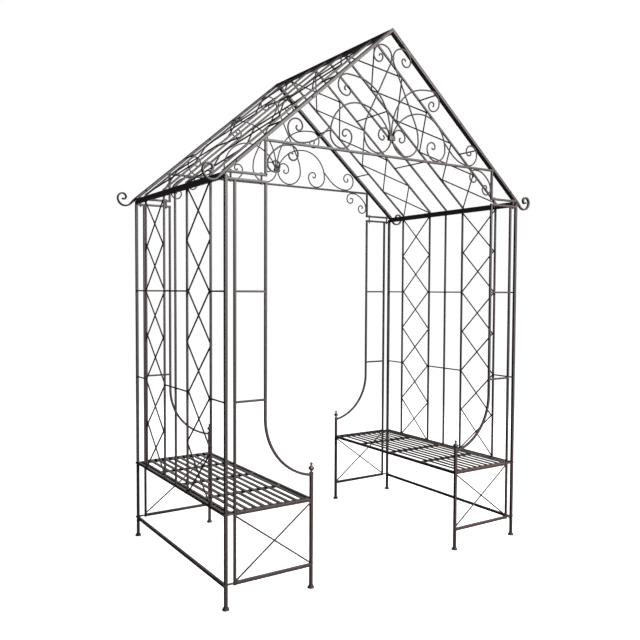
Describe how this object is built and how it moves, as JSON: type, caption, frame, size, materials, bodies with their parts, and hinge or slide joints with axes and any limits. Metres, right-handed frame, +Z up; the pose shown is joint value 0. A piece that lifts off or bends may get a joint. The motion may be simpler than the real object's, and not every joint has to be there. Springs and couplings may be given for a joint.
{
  "type": "garden trellis arch",
  "caption": "Steel garden arbour with a gabled trellis roof, lattice side panels, scrollwork gables and two facing slatted benches.",
  "frame": {"origin": "on the floor at the middle of the plan", "axes": "+X across to the right-hand bench, +Y from the front gable to the back gable along the walkway, +Z up"},
  "size_m": [2.0932, 1.208, 2.7789],
  "materials": {
    "frame": "satin powder coat",
    "rods": "satin powder coat",
    "slats": "satin powder coat",
    "hardware": "satin, painted over"
  },
  "bodies": {
    "root": {"post_front_left": "frame", "post_back_left": "frame", "post_front_right": "frame", "post_back_right": "frame", "side_rails_left": "frame", "side_rails_right": "frame", "side_bars_left": "frame", "side_bars_right": "frame", "side_lattice_left": "rods", "side_lattice_right": "rods", "uprights_left": "frame", "uprights_right": "frame", "arm_front_left": "frame", "arm_back_left": "frame", "arm_front_right": "frame", "arm_back_right": "frame", "leg_front_left": "frame", "leg_back_left": "frame", "leg_front_right": "frame", "leg_back_right": "frame", "end_rails_front_left": "frame", "end_rails_back_left": "frame", "end_rails_front_right": "frame", "end_rails_back_right": "frame", "braces_left": "rods", "braces_right": "rods", "finials": "frame", "foot_caps": "frame", "tube_caps": "frame", "seat_rails_left": "frame", "seat_rails_right": "frame", "seat_cross_left": "frame", "seat_cross_right": "frame", "seat_slats_left": "slats", "seat_slats_right": "slats", "rafter_front_left": "frame", "rafter_front_right": "frame", "rafter_back_left": "frame", "rafter_back_right": "frame", "tie_bar_front": "frame", "tie_bar_back": "frame", "risers_front": "frame", "risers_back": "frame", "crest_front": "rods", "crest_back": "rods", "brackets_front": "rods", "brackets_back": "rods", "roof_rails_left": "frame", "roof_rails_right": "frame", "roof_sides_left": "frame", "roof_sides_right": "frame", "roof_bars_left": "frame", "roof_bars_right": "frame", "roof_lattice_left": "rods", "roof_lattice_right": "rods", "frame_bolts": "hardware", "gable_bolts": "hardware", "roof_bolts": "hardware", "seat_bolts": "hardware"}
  },
  "joints": []
}
